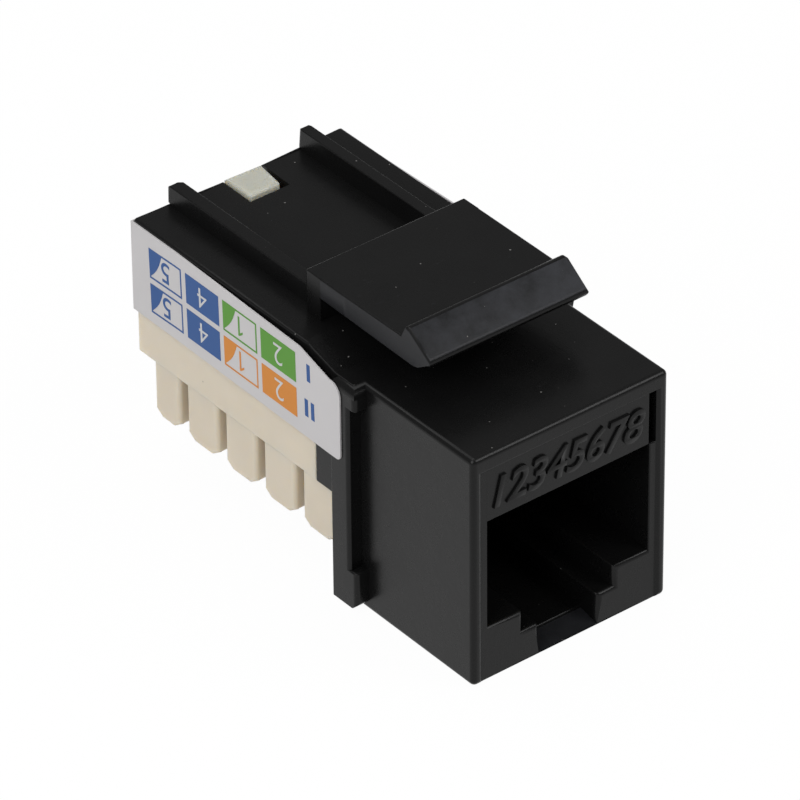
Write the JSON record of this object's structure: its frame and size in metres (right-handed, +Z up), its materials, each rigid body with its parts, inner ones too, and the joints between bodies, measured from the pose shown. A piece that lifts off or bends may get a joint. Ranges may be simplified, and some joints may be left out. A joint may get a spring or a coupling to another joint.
{
  "type": "keystone jack",
  "caption": "Panel-mount modular data jack with a front plug port, a sprung top latch and a rear punch-down wire block.",
  "frame": {"origin": "centre of the panel aperture, in the plane of the shoulder flange that seats on the panel, at mid-width and mid-height of the front body", "axes": "+X to the right seen from the front, -Y out of the plug port, +Z up towards the latch"},
  "size_m": [0.0166, 0.0312, 0.0206],
  "materials": {
    "black_plastic": "smooth glossy moulded thermoplastic",
    "cream_plastic": "pale cream moulded thermoplastic, semi-gloss",
    "gold_wire": "gold-plated phosphor bronze spring wire",
    "tinned_terminal": "tin-plated phosphor bronze strip",
    "board": "green solder mask on glass-epoxy laminate",
    "label": "white self-adhesive film with printed colour fields"
  },
  "bodies": {
    "jack_body": {"housing": "black_plastic", "contact_insert": "black_plastic", "contact_lead_1": "gold_wire", "contact_lead_2": "gold_wire", "contact_lead_3": "gold_wire", "contact_lead_4": "gold_wire", "contact_lead_5": "gold_wire", "contact_lead_6": "gold_wire", "contact_lead_7": "gold_wire", "contact_lead_8": "gold_wire", "circuit_board": "board", "idc_block": "cream_plastic", "idc_terminal_1": "tinned_terminal", "idc_terminal_2": "tinned_terminal", "idc_terminal_3": "tinned_terminal", "idc_terminal_4": "tinned_terminal", "idc_terminal_5": "tinned_terminal", "idc_terminal_6": "tinned_terminal", "idc_terminal_7": "tinned_terminal", "idc_terminal_8": "tinned_terminal", "label_left": "label", "label_right": "label"},
    "latch": {"latch_arm": "black_plastic"},
    "contacts": {"contact_1": "gold_wire", "contact_2": "gold_wire", "contact_3": "gold_wire", "contact_4": "gold_wire", "contact_5": "gold_wire", "contact_6": "gold_wire", "contact_7": "gold_wire", "contact_8": "gold_wire"}
  },
  "joints": [
    {"name": "latch_press", "type": "hinge", "parent": "jack_body", "child": "latch", "pos_m": [0, 0.0054, 0.0102], "axis": [1, 0, 0], "range_deg": [0, 10], "stiffness_Nm_per_rad": 0.5},
    {"name": "contacts_press", "type": "hinge", "parent": "jack_body", "child": "contacts", "pos_m": [0, -0.00765, 0.00431], "axis": [1, 0, 0], "range_deg": [0, 7], "stiffness_Nm_per_rad": 0.4}
  ]
}
